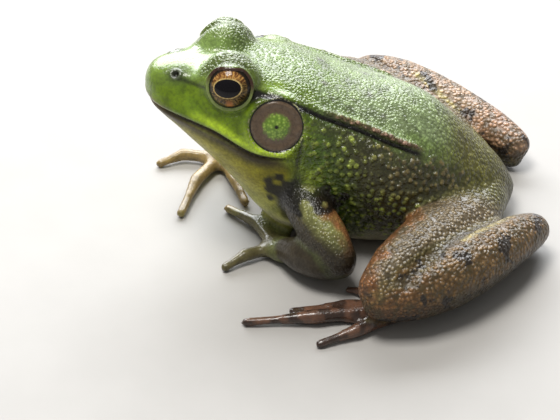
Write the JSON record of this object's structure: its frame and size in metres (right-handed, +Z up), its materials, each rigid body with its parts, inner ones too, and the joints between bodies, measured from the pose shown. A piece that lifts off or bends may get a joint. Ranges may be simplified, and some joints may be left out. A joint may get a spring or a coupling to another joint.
{
  "type": "green frog",
  "caption": "Life-size still model of a male green frog sitting low with its head raised, its hind legs folded beside the body and its front feet turned in.",
  "frame": {"origin": "middle of the frog's footprint box, on the ground that it sits on", "axes": "+Z up, the nose points along -Y, and the frog's left side is +X"},
  "size_m": [0.0896, 0.0826, 0.0437],
  "materials": {
    "back_skin": "moist, granular",
    "throat_skin": "moist, smooth",
    "leg_skin": "wet, granular",
    "eardrum_skin": "moist, smooth",
    "eye": "wet gloss"
  },
  "bodies": {
    "root": {"head": "back_skin", "lower_jaw": "throat_skin", "trunk": "back_skin", "eye_left": "eye", "eardrum_left": "eardrum_skin", "upper_arm_left": "back_skin", "forearm_left": "leg_skin", "hand_left": "leg_skin", "thigh_left": "leg_skin", "shank_left": "leg_skin", "tarsus_left": "leg_skin", "foot_left": "leg_skin", "eye_right": "eye", "eardrum_right": "eardrum_skin", "upper_arm_right": "back_skin", "forearm_right": "leg_skin", "hand_right": "leg_skin", "thigh_right": "leg_skin", "shank_right": "leg_skin", "tarsus_right": "leg_skin", "foot_right": "leg_skin"}
  },
  "joints": []
}
